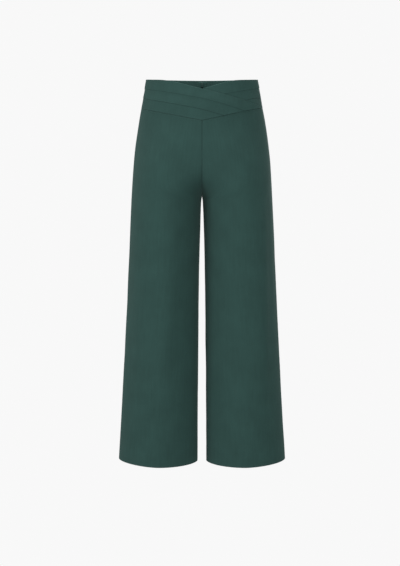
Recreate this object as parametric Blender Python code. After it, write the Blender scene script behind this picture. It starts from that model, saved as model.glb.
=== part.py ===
"""Wide-leg suit trousers with a cross-over waistband, filled out as on a general figure.

Metres, +Z up. The front faces -Y and the wearer's left is at +X. The origin is the middle of the
waist opening, level with its top edge, and the legs hang down from it. The sizes in the tables are
millimetres and are turned into metres where a mesh is made.
"""
import math
from collections import namedtuple
from functools import lru_cache

import bmesh
import bpy
import numpy as np
from mathutils import Matrix, Vector

MM = 0.001

# Cloth and seams
WALL = 1.4                # the cloth, folded in at its seams
SEAM_GAP = 0.3            # between two pieces that are sewn together
HALF_GAP = SEAM_GAP / 2

# Heights, measured from the waist's top edge
BAND_SIDE = -71.2         # the band's lower seam at the side seams and round the back
CROTCH = -298.5
HEM_SIDE = -994.4         # the hem at the side seams
HEM_INSEAM = -999.8       # and at the inseams
HEM_EASE = 220.0          # the hem's slant fades out over this height

# Cross sections of half the garment. side is the half width at the side seam, middle is how far out
# the section is deepest, front and back are the depths there in front of and behind the side seams,
# and curve is 2 for an ellipse and less where the section is more pointed at the side seam.
Section = namedtuple("Section", "level side middle front back curve")
SECTIONS = (
    Section(12, 141.4, 0.0, 96.8, 98.6, 2.00),
    Section(0, 143.0, 0.0, 98.0, 100.0, 2.00),
    Section(-32, 147.8, 0.0, 101.5, 104.0, 2.00),
    Section(-62, 153.3, 0.0, 106.0, 109.5, 2.00),
    Section(-93, 159.3, 1.0, 109.8, 115.5, 2.00),
    Section(-124, 164.7, 12.0, 113.5, 121.0, 2.00),
    Section(-154, 169.2, 33.0, 116.5, 125.5, 2.00),
    Section(-200, 174.8, 63.0, 119.2, 129.0, 2.00),
    Section(-246, 178.6, 83.0, 120.0, 129.0, 1.98),
    Section(-298, 181.8, 92.0, 118.0, 124.8, 1.94),
    Section(-366, 185.6, 95.2, 113.2, 117.0, 1.90),
    Section(-449, 189.8, 98.2, 106.8, 109.2, 1.86),
    Section(-533, 194.2, 101.2, 101.0, 102.8, 1.83),
    Section(-618, 198.5, 103.9, 96.0, 98.0, 1.80),
    Section(-703, 203.4, 106.8, 92.2, 94.2, 1.78),
    Section(-790, 208.4, 109.7, 89.4, 91.4, 1.76),
    Section(-876, 213.7, 112.6, 87.6, 89.6, 1.74),
    Section(-963, 219.2, 115.6, 86.6, 88.6, 1.72),
    Section(-1005, 221.9, 117.0, 86.3, 88.3, 1.71),
)

# Half the space between the legs
Parting = namedtuple("Parting", "level gap")
PARTINGS = (
    Parting(CROTCH, 0.0),
    Parting(-311, 1.9),
    Parting(-324, 2.5),
    Parting(-366, 4.0),
    Parting(-408, 5.3),
    Parting(-491, 7.1),
    Parting(-576, 8.3),
    Parting(-703, 9.4),
    Parting(-833, 10.5),
    Parting(-1005, 11.3),
)

# Above the crotch the inner side of each leg opens out by this law, until the two are one round hip.
REACH_SLOPE = 0.116
REACH_GROWTH = 0.0095

# Lines of the waistband, from the side seam that the piece starts at. across is a fraction of the
# front's girth, 0.5 at the centre front, and each line ends on the lower seam.
Mark = namedtuple("Mark", "across level")
OVER_LINES = {
    "top": (Mark(0, 0), Mark(0.12, -1.6), Mark(0.26, -4.6), Mark(0.36, -11.8), Mark(0.43, -18.8),
            Mark(0.50, -25.6), Mark(0.645, -39.9), Mark(0.772, -53.6), Mark(0.871, -64.2), Mark(0.94, -72.1)),
    "tuck 1": (Mark(0, -23.6), Mark(0.08, -25.2), Mark(0.276, -33.6), Mark(0.42, -43.8), Mark(0.51, -51.3),
               Mark(0.60, -60.9), Mark(0.765, -80.0)),
    "tuck 2": (Mark(0, -47.6), Mark(0.07, -49.6), Mark(0.186, -54.6), Mark(0.377, -65.9), Mark(0.505, -77.2),
               Mark(0.629, -91.6)),
    "lower": (Mark(0, -71.2), Mark(0.067, -73.0), Mark(0.18, -79.4), Mark(0.29, -87.0), Mark(0.466, -100.4),
              Mark(0.50, -103.3)),
}
UNDER_LINES = {
    "top": (Mark(0, 0), Mark(0.15, -1.9), Mark(0.31, -6.0), Mark(0.41, -15.6), Mark(0.50, -25.6),
            Mark(0.645, -40.0), Mark(0.76, -55.5), Mark(0.86, -73.0)),
    "tuck 1": (Mark(0, -20.6), Mark(0.10, -24.0), Mark(0.25, -31.3), Mark(0.35, -38.2), Mark(0.52, -55.0),
               Mark(0.735, -83.2)),
    "tuck 2": (Mark(0, -44.6), Mark(0.178, -50.7), Mark(0.228, -54.2), Mark(0.42, -71.5), Mark(0.629, -92.2)),
    "lower": (Mark(0, -71.2), Mark(0.046, -71.7), Mark(0.10, -72.9), Mark(0.17, -76.2), Mark(0.236, -80.0),
              Mark(0.368, -91.3), Mark(0.50, -103.3)),
}
TUCK_RISE = 0.8           # how far a tuck's folded edge stands over the strip below it
TUCK_RISE_CROSSING = 0.3  # the lower band's, where the upper band covers it
TUCK_CROSSING = {"tuck 1": 0.35, "tuck 2": 0.228}  # where that is, across the lower band
TUCK_FADE = 0.06          # past that place it lies flat within this part of the girth
TUCK_EDGE = 0.35          # height of the step
LAP_RISE = 2.3            # how far the upper band stands over the lower one
LAP_START = 0.09          # of the girth, over which the upper band climbs from its side seam
CENTRE_FRONT = 0.5

# The strips between those lines, with the rows that each one has between its two lines
Strip = namedtuple("Strip", "top foot rows")
STRIPS = (Strip("top", "tuck 1", 3), Strip("tuck 1", "tuck 2", 1), Strip("tuck 2", "lower", 1))
END_EASE = 0.5            # share of a row over which it settles on the lower seam

# Soft folds, in the outer and the inner face. across runs from the side seam (0) to the inseam (1),
# height is out of the cloth, and spread is a fraction of the panel's girth.
Fold = namedtuple("Fold", "leg panel across top foot height spread")
FOLDS = (
    Fold("left", "front", 0.36, -250, -960, 2.4, 0.09),
    Fold("left", "front", 0.21, -280, -930, -2.6, 0.08),
    Fold("right", "front", 0.54, -380, -760, 1.6, 0.10),
    Fold("right", "front", 0.77, -330, -900, -2.0, 0.11),
    Fold("left", "back", 0.58, -300, -700, -3.4, 0.12),
    Fold("left", "back", 0.36, -340, -880, 2.8, 0.11),
    Fold("right", "back", 0.62, -310, -780, -3.0, 0.11),
    Fold("right", "back", 0.30, -420, -930, 2.6, 0.12),
)

FOLD_TAPER = 1.5          # how gently a fold starts and ends

# Rows and columns of the walls
PANEL_COLUMNS = 15
BAND_COLUMNS = 23
BACK_BAND_COLUMNS = 15
BACK_BAND_LEVELS = (0.0, -15.0, -22.0, -48.0, BAND_SIDE)
TOP_BLEND = (0.0, 0.33, 0.67)                 # rows from the waist seam down to the first level one
UPPER_LEVELS = (-172, -198, -222, -244, -263, -277, -287, -293.5, -297)
LOWER_LEVELS = (-300.5, -306, -320, -350, -400, -465, -545, -635, -735, -835, -925, -997.1)

# Steps over which the cloth's slope is measured
STEP_ACROSS = 0.01
STEP_UP = 0.6

# Concealed zip in the centre-back seam
ZIP_NOTCH_HALF = 1.0      # the seam's edges part this far at the slider
ZIP_NOTCH_FOOT = BACK_BAND_LEVELS[1]
ZIP_NOTCH_CLOSE = BACK_BAND_LEVELS[2]
TAPE_WIDTH = 11.0
TAPE_THICK = 1.0
TAPE_INNER_EDGE = 1.6
TAPE_CLEAR = 0.6          # inside the cloth, whose wall is flat between its rows
TAPE_TOP = -3.0
TAPE_FOOT_ROW = 4         # of the leg panel's rows, counted from the waist seam
SLIDER_LEVEL = -9.0       # the middle of its neck
SLIDER_LENGTH = 11.0
SLIDER_WIDTH = 6.4
SLIDER_THICK = 3.2
SLIDER_ROUNDING = 0.5
NECK_HALF_WIDTH = 0.65
NECK_LENGTH = 4.6
NECK_BITE = 0.3           # how deep the neck starts inside the slider's body
NECK_OUT = 0.3            # and how far it stands out of the cloth
BAR_RADIUS = 0.6          # the pull's top bar, on the hinge axis
ARCH_RADIUS = 0.6         # the wire of the slider's arch
ARCH_INSIDE = 1.0         # from the hinge axis to the arch's inner face
ARCH_FOOT = -0.6          # the ends of its wire, inside the neck
ARCH_STEPS = 8
AXIS_OUT = 2.1            # the hinge axis, out from the cloth
PULL_LENGTH = 23.0
PULL_TOP_WIDTH = 4.6
PULL_FOOT_WIDTH = 7.4
PULL_THICK = 1.2
SLOT_WIDTH = 2.0
SLOT_LENGTH = 2.9
PULL_FOOT_STEPS = 12
SHARP_ANGLE = 40.0        # edges of the walls that turn more than this stay sharp
CONTOUR_SAMPLES = 72

CLOTH_COLOUR = (0.033, 0.074, 0.068, 1.0)
TAPE_COLOUR = (0.024, 0.055, 0.050, 1.0)
LACQUER_COLOUR = (0.022, 0.050, 0.046, 1.0)


def spline_at(rows, column, key, value):
    """A smooth curve through a short table's rows, at one value of its key column."""
    keys = [getattr(row, key) for row in rows]
    heights = [getattr(row, column) for row in rows]
    if keys[0] > keys[-1]:
        keys.reverse()
        heights.reverse()
    if value <= keys[0]:
        return heights[0]
    if value >= keys[-1]:
        return heights[-1]
    slopes = np.gradient(heights, keys)
    i = int(np.searchsorted(keys, value)) - 1
    width = keys[i + 1] - keys[i]
    t = (value - keys[i]) / width
    start = (1 + 2 * t) * (1 - t) ** 2 * heights[i] + t * (1 - t) ** 2 * width * slopes[i]
    end = t * t * (3 - 2 * t) * heights[i + 1] + t * t * (t - 1) * width * slopes[i + 1]
    return start + end


def smoothstep(t):
    t = min(1.0, max(0.0, t))
    return t * t * (3 - 2 * t)


@lru_cache(maxsize=None)
def leg_middle(level):
    """How far out the middle of a leg's cross section is."""
    return spline_at(SECTIONS, "middle", "level", level)


def inner_reach(level):
    """Half width of the part of the section that faces the other leg."""
    if level <= CROTCH:
        return leg_middle(level) - spline_at(PARTINGS, "gap", "level", level)
    above = level - CROTCH
    return leg_middle(CROTCH) + REACH_SLOPE * above + REACH_GROWTH * above * above


def notch(level, panel):
    """Half the gap at the centre seam, which opens at the zip's slider."""
    if panel == "front":
        return HALF_GAP
    closed = smoothstep((ZIP_NOTCH_FOOT - level) / (ZIP_NOTCH_FOOT - ZIP_NOTCH_CLOSE))
    return ZIP_NOTCH_HALF + (HALF_GAP - ZIP_NOTCH_HALF) * closed


@lru_cache(maxsize=None)
def contour(level, panel):
    """Half a cross section at one level, from the side seam to the centre seam or the inseam."""
    side = spline_at(SECTIONS, "side", "level", level)
    depth = spline_at(SECTIONS, panel, "level", level)
    curve = spline_at(SECTIONS, "curve", "level", level)
    middle = leg_middle(level)
    reach = inner_reach(level)
    edge = math.asin((HALF_GAP / depth) ** (curve / 2))
    stop = max(notch(level, panel), middle - reach)
    if middle > stop:
        last = math.pi / 2 + math.asin(min(1.0, (middle - stop) / reach) ** (curve / 2))
    else:
        last = math.acos((stop - middle) / (side - middle))
    angle = np.linspace(edge, min(last, math.pi - edge), CONTOUR_SAMPLES)
    across = np.abs(np.cos(angle)) ** (2 / curve)
    x = middle + np.where(angle < math.pi / 2, side - middle, -reach) * across
    y = depth * np.abs(np.sin(angle)) ** (2 / curve)
    if panel == "front":
        y = -y
    along = np.concatenate([[0.0], np.cumsum(np.hypot(np.diff(x), np.diff(y)))])
    return x, y, along


def fold_height(leg, panel, across, level):
    total = 0.0
    for fold in FOLDS:
        if (fold.leg, fold.panel) != (leg, panel) or not fold.foot < level < fold.top:
            continue
        down = (fold.top - level) / (fold.top - fold.foot)
        beside = (across - fold.across) / fold.spread
        total += fold.height * math.sin(math.pi * down) ** FOLD_TAPER * math.exp(-beside * beside)
    return total


def bare_point(leg, panel, across, level):
    """A point of the cloth's outer face without its folds. across runs from 0 to 1."""
    x, y, along = contour(level, panel)
    at = min(1.0, max(0.0, across)) * along[-1]
    sign = 1.0 if leg == "left" else -1.0
    return np.array([sign * np.interp(at, along, x), np.interp(at, along, y), level])


def outward(leg, panel, across, level):
    """The direction out of the cloth. On a side seam or an inseam it stays in the seam's plane."""
    low, high = max(0.0, across - STEP_ACROSS), min(1.0, across + STEP_ACROSS)
    along = bare_point(leg, panel, high, level) - bare_point(leg, panel, low, level)
    up = bare_point(leg, panel, across, level + STEP_UP) - bare_point(leg, panel, across, level - STEP_UP)
    direction = np.cross(along, up)
    if (leg == "right") != (panel == "front"):
        direction = -direction
    if across <= 0.0 or (across >= 1.0 and level <= CROTCH + STEP_UP):
        direction[1] = 0.0
    return direction / np.linalg.norm(direction)


def cloth_point(leg, panel, across, level, rise=0.0):
    """A point of the cloth, rise millimetres out from its outer face."""
    height = rise + fold_height(leg, panel, across, level)
    return bare_point(leg, panel, across, level) + height * outward(leg, panel, across, level)


def front_point(across, level, rise=0.0):
    """A point of the whole front: across is 0 at the right side seam and 1 at the left one."""
    if across <= CENTRE_FRONT:
        return cloth_point("right", "front", 2 * across, level, rise)
    return cloth_point("left", "front", 2 * (1 - across), level, rise)


def waist_seam(leg, panel, across):
    """The height of the seam under the waistband."""
    if panel == "back":
        return BAND_SIDE
    lines = OVER_LINES if leg == "right" else UNDER_LINES
    return spline_at(lines["lower"], "level", "across", across / 2)


def hem_slant(across, level):
    """How far the hem's slant moves a point down."""
    near = smoothstep(1 - (level - HEM_SIDE) / HEM_EASE)
    middle = (HEM_SIDE + HEM_INSEAM) / 2
    return near * ((HEM_SIDE - middle) * math.cos(math.pi * across))


def panel_levels(leg, panel, across):
    """The heights of a leg panel's rows at one column, from the waist seam to the hem."""
    top = waist_seam(leg, panel, across) - SEAM_GAP
    first = UPPER_LEVELS[0]
    heights = [top + (first - top) * share for share in TOP_BLEND]
    heights += list(UPPER_LEVELS) + list(LOWER_LEVELS)
    return [level + hem_slant(across, level) for level in heights]


def closed_wall(outer, inner):
    """A closed mesh between two grids of points, with its four edges filled."""
    rows, columns = len(outer), len(outer[0])
    points = [Vector(p) * MM for grid in (outer, inner) for row in grid for p in row]
    far = rows * columns

    def at(i, j, layer):
        return layer * far + i * columns + j

    faces = []
    for i in range(rows - 1):
        for j in range(columns - 1):
            corners = ((i, j), (i + 1, j), (i + 1, j + 1), (i, j + 1))
            faces.append([at(r, c, 0) for r, c in corners])
            faces.append([at(r, c, 1) for r, c in reversed(corners)])
    border = [(i, 0) for i in range(rows)]
    border += [(rows - 1, j) for j in range(1, columns)]
    border += [(i, columns - 1) for i in range(rows - 2, -1, -1)]
    border += [(0, j) for j in range(columns - 2, 0, -1)]
    for here, after in zip(border, border[1:] + border[:1]):
        faces.append([at(*here, 0), at(*here, 1), at(*after, 1), at(*after, 0)])
    return points, faces


def plain_material(name, colour, roughness, metallic=0.0):
    material = bpy.data.materials.new(name)
    material.use_nodes = True
    shader = material.node_tree.nodes["Principled BSDF"]
    shader.inputs["Base Color"].default_value = colour
    shader.inputs["Roughness"].default_value = roughness
    shader.inputs["Metallic"].default_value = metallic
    return material


def mesh_object(name, points, faces, material, collection):
    mesh = bpy.data.meshes.new(name)
    mesh.from_pydata([tuple(p) for p in points], [], faces)
    sheet = bmesh.new()
    sheet.from_mesh(mesh)
    bmesh.ops.recalc_face_normals(sheet, faces=sheet.faces)
    bmesh.ops.triangulate(sheet, faces=sheet.faces, quad_method="SHORT_EDGE")
    sheet.to_mesh(mesh)
    sheet.free()
    mesh.shade_smooth()
    mesh.set_sharp_from_angle(angle=math.radians(SHARP_ANGLE))
    mesh.materials.append(material)
    made = bpy.data.objects.new(name, mesh)
    collection.objects.link(made)
    return made


def leg_panel(leg, panel, material, collection):
    """One cut piece of a leg, from the waist seam to the hem."""
    columns = [j / (PANEL_COLUMNS - 1) for j in range(PANEL_COLUMNS)]
    heights = [panel_levels(leg, panel, across) for across in columns]
    outer, inner = [], []
    for i in range(len(heights[0])):
        outer.append([cloth_point(leg, panel, across, heights[j][i]) for j, across in enumerate(columns)])
        inner.append([cloth_point(leg, panel, across, heights[j][i], -WALL)
                      for j, across in enumerate(columns)])
    return mesh_object(f"{panel}_leg_{leg}", *closed_wall(outer, inner), material, collection)


def band_place(lines, top, foot, down, share):
    """A place on a waistband: down from one line to the next, and share of the way along them."""
    ends = [lines[line][-1].across for line in (top, foot)]
    levels = [spline_at(lines[line], "level", "across", end * share) for line, end in zip((top, foot), ends)]
    end = ends[0] + (ends[1] - ends[0]) * down
    last_levels = [lines[line][-1].level for line in (top, foot)]
    straight = last_levels[0] + (last_levels[1] - last_levels[0]) * down
    settle = smoothstep((share - 1 + END_EASE) / END_EASE) if 0 < down < 1 else 0.0
    level = levels[0] + (levels[1] - levels[0]) * down + settle * (seam_past_centre(lines, end) - straight)
    return end * share, level


def seam_past_centre(lines, across):
    """The lower seam's height past the centre front, where it is the other band's own seam."""
    other = UNDER_LINES if lines is OVER_LINES else OVER_LINES
    return spline_at(other["lower"], "level", "across", 1 - across)


def tuck_rise(tuck, across, under):
    """How far a tuck stands up: less towards the place where the upper band covers it."""
    if not under:
        return TUCK_RISE
    crossing = TUCK_CROSSING[tuck]
    shown = TUCK_RISE + (TUCK_RISE_CROSSING - TUCK_RISE) * smoothstep(across / crossing)
    return shown * (1 - smoothstep((across - crossing) / TUCK_FADE))


def band_rows():
    """The waistband's rows from top to foot: lines they lie between, how far down, shift, tuck."""
    rows = []
    for strip in STRIPS:
        below_tuck = -TUCK_EDGE / 2 if strip.top.startswith("tuck") else 0.0
        rows.append((strip.top, strip.foot, 0.0, below_tuck, None))
        for k in range(strip.rows):
            rows.append((strip.top, strip.foot, (k + 1) / (strip.rows + 1), 0.0, None))
        if strip.foot.startswith("tuck"):
            rows.append((strip.top, strip.foot, 1.0, TUCK_EDGE / 2, strip.foot))
        else:
            rows.append((strip.top, strip.foot, 1.0, 0.0, None))
    return rows


def front_band(name, lines, under, material, collection):
    """A front waistband piece: three strips over each other, each strip's lower edge a folded tuck."""
    shares = [j / (BAND_COLUMNS - 1) for j in range(BAND_COLUMNS)]
    outer, inner = [], []
    for top, foot, down, shift, tuck in band_rows():
        outer_row, inner_row = [], []
        for share in shares:
            across, level = band_place(lines, top, foot, down, share)
            lap = 0.0 if under else LAP_RISE * smoothstep(across / LAP_START)
            rise = tuck_rise(tuck, across, under) if tuck else 0.0
            place = 1 - across if under else across
            outer_row.append(front_point(place, level + shift, lap + rise))
            inner_row.append(front_point(place, level + shift, lap - WALL))
        outer.append(outer_row)
        inner.append(inner_row)
    return mesh_object(name, *closed_wall(outer, inner), material, collection)


def back_band(leg, material, collection):
    """Half of the back waistband, plain, from the side seam to the zip."""
    columns = [j / (BACK_BAND_COLUMNS - 1) for j in range(BACK_BAND_COLUMNS)]
    outer = [[cloth_point(leg, "back", across, level) for across in columns]
             for level in BACK_BAND_LEVELS]
    inner = [[cloth_point(leg, "back", across, level, -WALL) for across in columns]
             for level in BACK_BAND_LEVELS]
    return mesh_object(f"waistband_back_{leg}", *closed_wall(outer, inner), material, collection)


def back_inset(leg, out_from_centre, level, rise):
    """A point near the centre back, at a distance from the seam along the cloth."""
    length = contour(level, "back")[2][-1]
    across = 1 - max(0.0, out_from_centre - notch(level, "back")) / length
    return cloth_point(leg, "back", across, level, rise)


def zip_tape(leg, material, collection):
    """One half of the zip's tape, lying inside the cloth beside the centre-back seam."""
    levels = [TAPE_TOP, *BACK_BAND_LEVELS[1:], *panel_levels(leg, "back", 1.0)[:TAPE_FOOT_ROW]]
    offsets = np.linspace(TAPE_INNER_EDGE, TAPE_INNER_EDGE + TAPE_WIDTH, 4)
    near, far = -(WALL + TAPE_CLEAR), -(WALL + TAPE_CLEAR + TAPE_THICK)
    outer = [[back_inset(leg, d, level, near) for d in offsets] for level in levels]
    inner = [[back_inset(leg, d, level, far) for d in offsets] for level in levels]
    return mesh_object(f"zip_tape_{leg}", *closed_wall(outer, inner), material, collection)


def zip_frame():
    """The slider's own axes at the centre back: x across, y out of the cloth, z up along the seam."""
    here = cloth_point("left", "back", 1.0, SLIDER_LEVEL)
    above = cloth_point("left", "back", 1.0, TAPE_TOP)
    below = cloth_point("left", "back", 1.0, SLIDER_LEVEL - PULL_LENGTH)
    up = Vector((0.0, above[1] - below[1], above[2] - below[2])).normalized()
    out = Vector((0.0, up.z, -up.y))
    axes = Matrix((Vector((1.0, 0.0, 0.0)), out, up)).transposed().to_4x4()
    return Matrix.Translation(Vector((0.0, here[1], here[2])) * MM) @ axes


def box_mesh(size, centre):
    shape = bmesh.new()
    bmesh.ops.create_cube(shape, size=1.0)
    bmesh.ops.scale(shape, vec=Vector(size) * MM, verts=shape.verts)
    bmesh.ops.translate(shape, vec=Vector(centre) * MM, verts=shape.verts)
    return shape


def object_from(shape, name, collection):
    mesh = bpy.data.meshes.new(name)
    shape.to_mesh(mesh)
    shape.free()
    made = bpy.data.objects.new(name, mesh)
    collection.objects.link(made)
    return made


def combine(target, other, operation):
    """Unites another solid with the target, or cuts it out of it."""
    change = target.modifiers.new(other.name, "BOOLEAN")
    change.operation = operation
    change.solver = "EXACT"
    change.object = other
    other.hide_render = True
    other.display_type = "WIRE"


def arch_mesh(collection):
    """The arch that the pull hangs on: a bent wire over the hinge axis, in the slider's own axes."""
    curve = bpy.data.curves.new("arch_guide", "CURVE")
    curve.dimensions = "3D"
    curve.bevel_depth = ARCH_RADIUS * MM
    curve.bevel_resolution = 1
    curve.use_fill_caps = True
    radius = ARCH_INSIDE + ARCH_RADIUS
    points = [(0.0, ARCH_FOOT, radius)]
    for k in range(ARCH_STEPS + 1):
        angle = math.pi / 2 - math.pi * k / ARCH_STEPS
        points.append((0.0, AXIS_OUT + radius * math.cos(angle), radius * math.sin(angle)))
    points.append((0.0, ARCH_FOOT, -radius))
    path = curve.splines.new("POLY")
    path.points.add(len(points) - 1)
    for point, place in zip(path.points, points):
        point.co = (place[0] * MM, place[1] * MM, place[2] * MM, 1.0)
    guide = bpy.data.objects.new("arch_guide", curve)
    collection.objects.link(guide)
    bpy.context.view_layer.update()
    mesh = bpy.data.meshes.new_from_object(guide.evaluated_get(bpy.context.evaluated_depsgraph_get()))
    bpy.data.objects.remove(guide)
    shape = bmesh.new()
    shape.from_mesh(mesh)
    bmesh.ops.remove_doubles(shape, verts=shape.verts, dist=1e-6)
    return shape


def zip_slider(frame, material, collection, cutters):
    """The slider: a body behind the tapes, a neck through the seam and an arch for the pull."""
    body_out = -(WALL + TAPE_CLEAR + TAPE_THICK + SEAM_GAP)
    body = box_mesh((SLIDER_WIDTH, SLIDER_THICK, SLIDER_LENGTH), (0, body_out - SLIDER_THICK / 2, 0))
    bmesh.ops.bevel(body, geom=body.edges[:], offset=SLIDER_ROUNDING * MM, segments=2, affect="EDGES")
    slider = object_from(body, "zip_slider", collection)
    neck_reach = NECK_BITE - body_out + NECK_OUT
    neck_middle = body_out - NECK_BITE + neck_reach / 2
    neck = box_mesh((2 * NECK_HALF_WIDTH, neck_reach, NECK_LENGTH), (0, neck_middle, 0))
    combine(slider, object_from(neck, "slider_neck", cutters), "UNION")
    combine(slider, object_from(arch_mesh(collection), "slider_arch", cutters), "UNION")
    for piece in (slider, *cutters.objects):
        piece.matrix_world = frame
    slider.data.materials.append(material)
    return slider


def pull_outline():
    """The pull's outline below the hinge axis: a teardrop, narrow at the bar and round at the foot."""
    top, foot = PULL_TOP_WIDTH / 2, PULL_FOOT_WIDTH / 2
    outline = [(-top, BAR_RADIUS), (-top, -SLOT_LENGTH)]
    centre = -(PULL_LENGTH - foot)
    for k in range(PULL_FOOT_STEPS + 1):
        angle = math.pi + math.pi * k / PULL_FOOT_STEPS
        outline.append((foot * math.cos(angle), centre + foot * math.sin(angle)))
    outline += [(top, -SLOT_LENGTH), (top, BAR_RADIUS)]
    return outline


def zip_pull(frame, material, collection, cutters):
    """The pull tab, with its origin on the hinge axis."""
    outline = pull_outline()
    shape = bmesh.new()
    corners = [shape.verts.new((x * MM, -PULL_THICK / 2 * MM, z * MM)) for x, z in outline]
    plate = shape.faces.new(corners)
    swept = bmesh.ops.extrude_face_region(shape, geom=[plate])
    moved = [v for v in swept["geom"] if isinstance(v, bmesh.types.BMVert)]
    bmesh.ops.translate(shape, vec=(0, PULL_THICK * MM, 0), verts=moved)
    bmesh.ops.recalc_face_normals(shape, faces=shape.faces)
    pull = object_from(shape, "zip_pull", collection)
    slot_foot = -(BAR_RADIUS + SLOT_LENGTH)
    slot = box_mesh((SLOT_WIDTH, PULL_THICK * 3, SLOT_LENGTH), (0, 0, (slot_foot - BAR_RADIUS) / 2))
    cutter = object_from(slot, "pull_slot", cutters)
    combine(pull, cutter, "DIFFERENCE")
    hinge = frame @ Matrix.Translation(Vector((0, AXIS_OUT, 0)) * MM)
    pull.matrix_world = hinge
    cutter.matrix_world = hinge
    pull.data.materials.append(material)
    return pull


def build():
    for old in list(bpy.data.objects):
        bpy.data.objects.remove(old)
    trousers = bpy.data.collections.new("suit_trousers")
    cutters = bpy.data.collections.new("cutters")
    bpy.context.scene.collection.children.link(trousers)
    bpy.context.scene.collection.children.link(cutters)
    cloth = plain_material("cloth", CLOTH_COLOUR, 0.85)
    tape = plain_material("zip tape", TAPE_COLOUR, 0.9)
    lacquer = plain_material("lacquered metal", LACQUER_COLOUR, 0.35)
    for leg in ("right", "left"):
        for panel in ("front", "back"):
            leg_panel(leg, panel, cloth, trousers)
        back_band(leg, cloth, trousers)
        zip_tape(leg, tape, trousers)
    front_band("waistband_front_over", OVER_LINES, False, cloth, trousers)
    front_band("waistband_front_under", UNDER_LINES, True, cloth, trousers)
    frame = zip_frame()
    zip_slider(frame, lacquer, trousers, cutters)
    zip_pull(frame, lacquer, trousers, cutters)


build()
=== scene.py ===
"""Wide-leg suit trousers in bottle-green crepe suiting, filled out with no wearer in them.

The front faces -Y, the wearer's left is at +X, and the origin is the middle of the waist opening.
Tables and sizes are in millimetres, and become metres where a mesh is made. Each cut piece is a
thin sheet on the form of its solid in the frame, with its seams, tucks, hem and folds.
"""
import math
from collections import namedtuple

import bmesh
import bpy
import numpy as np
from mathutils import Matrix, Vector
from mathutils.geometry import delaunay_2d_cdt


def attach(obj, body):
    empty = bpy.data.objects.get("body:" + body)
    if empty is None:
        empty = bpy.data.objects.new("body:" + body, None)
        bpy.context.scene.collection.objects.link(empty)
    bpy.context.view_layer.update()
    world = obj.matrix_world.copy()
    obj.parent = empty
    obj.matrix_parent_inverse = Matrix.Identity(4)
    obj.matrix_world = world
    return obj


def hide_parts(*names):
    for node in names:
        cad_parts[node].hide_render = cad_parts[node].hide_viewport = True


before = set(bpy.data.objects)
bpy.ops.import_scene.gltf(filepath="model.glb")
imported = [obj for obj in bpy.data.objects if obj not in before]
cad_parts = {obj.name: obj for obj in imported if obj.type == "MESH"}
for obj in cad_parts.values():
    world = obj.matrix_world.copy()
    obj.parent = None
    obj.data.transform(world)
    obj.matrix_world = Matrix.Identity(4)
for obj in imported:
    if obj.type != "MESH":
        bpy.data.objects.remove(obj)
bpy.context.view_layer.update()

MM = 0.001

# The cut, as in the frame: heights are measured from the waist's top edge
BAND_SIDE = -71.2         # the waistband's lower seam at the side seams and round the back
CROTCH = -298.5
HEM_SIDE = -994.4         # the hem at the side seams
HEM_INSEAM = -999.8       # and at the inseams
HEM_EASE = 220.0          # the hem's slant fades out over this height
SEAM_GAP = 0.3            # between a panel and the waistband
WALL = 1.4                # the whole waistband, folded double
CENTRE_FRONT = 0.5
ZIP_NOTCH_HALF = 1.0      # the centre-back seam's edges part this far at the zip's slider
ZIP_NOTCH_FOOT = -15.0
ZIP_NOTCH_CLOSE = -22.0
ZIP_NOTCH_HEAD = -4.6     # towards the slider's top they close again, between these heights
ZIP_NOTCH_TOP = -6.4
NOTCH_ROWS = np.array([-4.5, -4.9, -5.3, -5.7, -6.1, -6.5])     # rows that follow that closing


def table(kind, *rows):
    """A short table, whose rows have named columns."""
    return tuple(kind(*row) for row in rows)


# Cross sections of half the garment. side is the half width at the side seam, middle is how far out
# the section is deepest, front and back are the depths there, and curve is 2 for an ellipse.
Section = namedtuple("Section", "level side middle front back curve")
SECTIONS = table(
    Section,
    (12, 141.4, 0.0, 96.8, 98.6, 2.00),
    (0, 143.0, 0.0, 98.0, 100.0, 2.00),
    (-32, 147.8, 0.0, 101.5, 104.0, 2.00),
    (-62, 153.3, 0.0, 106.0, 109.5, 2.00),
    (-93, 159.3, 1.0, 109.8, 115.5, 2.00),
    (-124, 164.7, 12.0, 113.5, 121.0, 2.00),
    (-154, 169.2, 33.0, 116.5, 125.5, 2.00),
    (-200, 174.8, 63.0, 119.2, 129.0, 2.00),
    (-246, 178.6, 83.0, 120.0, 129.0, 1.98),
    (-298, 181.8, 92.0, 118.0, 124.8, 1.94),
    (-366, 185.6, 95.2, 113.2, 117.0, 1.90),
    (-449, 189.8, 98.2, 106.8, 109.2, 1.86),
    (-533, 194.2, 101.2, 101.0, 102.8, 1.83),
    (-618, 198.5, 103.9, 96.0, 98.0, 1.80),
    (-703, 203.4, 106.8, 92.2, 94.2, 1.78),
    (-790, 208.4, 109.7, 89.4, 91.4, 1.76),
    (-876, 213.7, 112.6, 87.6, 89.6, 1.74),
    (-963, 219.2, 115.6, 86.6, 88.6, 1.72),
    (-1005, 221.9, 117.0, 86.3, 88.3, 1.71),
)

# Half the space between the legs
Parting = namedtuple("Parting", "level gap")
PARTINGS = table(
    Parting,
    (CROTCH, 0.0),
    (-311, 1.9),
    (-324, 2.5),
    (-366, 4.0),
    (-408, 5.3),
    (-491, 7.1),
    (-576, 8.3),
    (-703, 9.4),
    (-833, 10.5),
    (-1005, 11.3),
)
REACH_SLOPE = 0.25       # above the crotch the inner side of each leg opens out by this law
REACH_GROWTH = 0.019

# Lines of the waistband, from the side seam that the piece starts at. across is a fraction of the
# front's girth, 0.5 at the centre front, and each line ends on the lower seam.
Mark = namedtuple("Mark", "across level")


def line(*marks):
    return table(Mark, *marks)


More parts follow.
